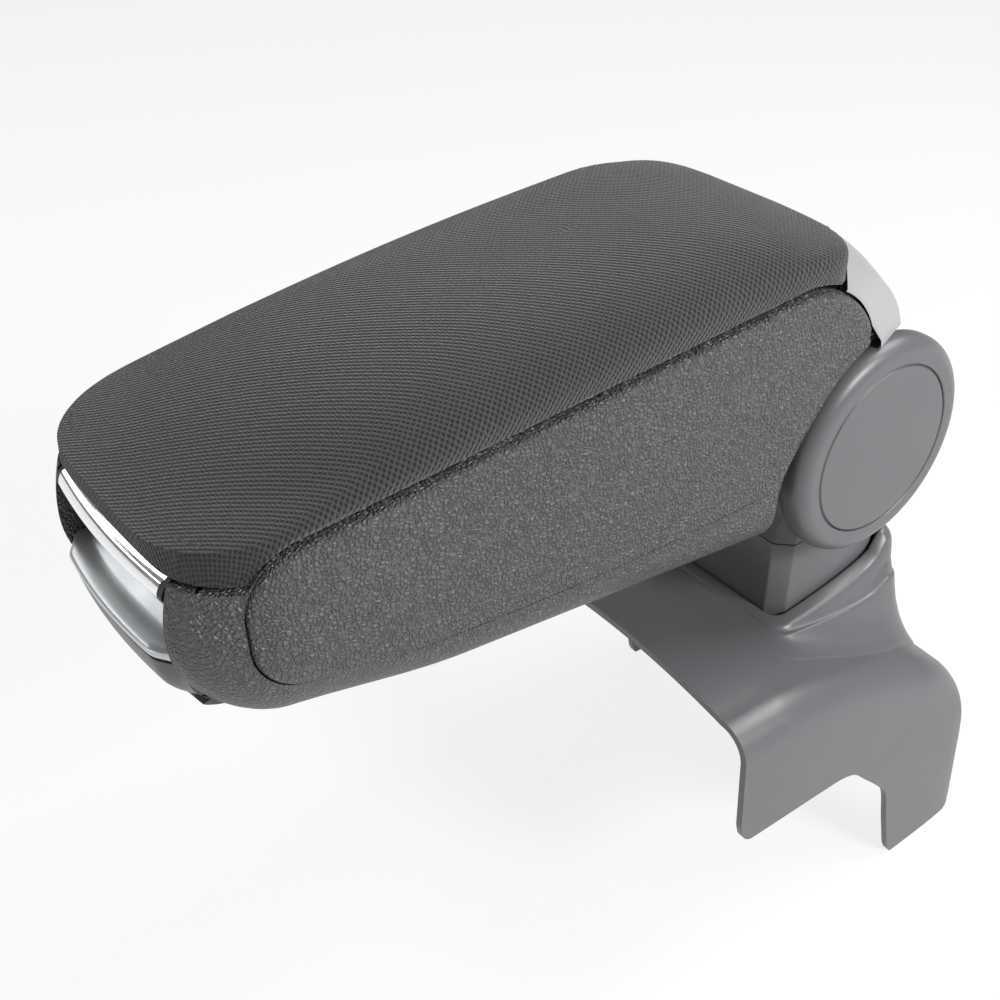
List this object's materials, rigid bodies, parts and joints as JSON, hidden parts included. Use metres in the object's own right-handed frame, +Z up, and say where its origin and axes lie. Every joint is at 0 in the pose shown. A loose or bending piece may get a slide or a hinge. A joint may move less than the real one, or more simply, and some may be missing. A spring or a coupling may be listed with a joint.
{
  "type": "car centre armrest",
  "caption": "Padded car centre armrest with a latched storage lid, folding up about a drum on a neck that stands in a saddle-shaped cover.",
  "frame": {"origin": "centre of the foot plate's four bolt holes, on the plate's underside", "axes": "+Z up, -Y towards the front of the armrest, +X to the side, across the two seats"},
  "size_m": [0.1682, 0.3299, 0.2931],
  "materials": {
    "fabric": "charcoal knitted fabric with a fine regular dot weave",
    "body_plastic": "dark grey moulded plastic with a leather grain",
    "panel_plastic": "mid grey moulded plastic with a leather grain",
    "stand_plastic": "smooth satin grey plastic",
    "light_plastic": "smooth light grey plastic",
    "trim_silver": "satin silver painted plastic",
    "dark_plastic": "smooth dark plastic",
    "black_plastic": "black plastic",
    "bright_bar": "bright chrome plate",
    "bush_plastic": "natural nylon",
    "steel_sheet": "zinc-plated steel sheet",
    "steel_bright": "turned and drawn steel"
  },
  "bodies": {
    "stand": {"foot_plate": "steel_sheet", "post": "steel_sheet", "stop_pins": "steel_bright", "neck_shell": "stand_plastic", "pivot_drum": "stand_plastic", "drum_cap_left": "stand_plastic", "drum_cap_right": "stand_plastic", "pivot_axle": "steel_bright", "axle_nut": "steel_bright", "axle_washers": "steel_bright", "friction_springs": "steel_sheet", "saddle_cover": "stand_plastic", "neck_screws": "steel_bright"},
    "armrest": {"arm_bracket": "steel_sheet", "bush_left": "bush_plastic", "bush_right": "bush_plastic", "bracket_screws": "steel_bright", "body_shell": "body_plastic", "side_panel_left": "panel_plastic", "side_panel_right": "panel_plastic", "front_trim": "trim_silver", "trim_lip": "trim_silver", "chin_cover": "dark_plastic", "storage_bin": "black_plastic", "latch_striker": "steel_bright", "hinge_bracket": "steel_sheet", "hinge_cover": "light_plastic", "lid_hinge_pin": "steel_bright"},
    "lid": {"lid_cushion": "fabric", "lid_board": "black_plastic", "latch_pin": "steel_bright", "latch_spring": "steel_bright"},
    "latch": {"latch_lever": "black_plastic", "latch_bar": "bright_bar"}
  },
  "joints": [
    {"name": "armrest_fold", "type": "hinge", "parent": "stand", "child": "armrest", "pos_m": [0, -0.008, 0.128], "axis": [-1, 0, 0], "range_deg": [0, 95]},
    {"name": "lid_hinge", "type": "hinge", "parent": "armrest", "child": "lid", "pos_m": [0, -0.0285, 0.208], "axis": [-1, 0, 0], "range_deg": [0, 75]},
    {"name": "latch_turn", "type": "hinge", "parent": "lid", "child": "latch", "pos_m": [0, -0.2595, 0.174], "axis": [-1, 0, 0], "range_deg": [0, 5], "stiffness_Nm_per_rad": 0.1, "springref_deg": -17.19}
  ]
}
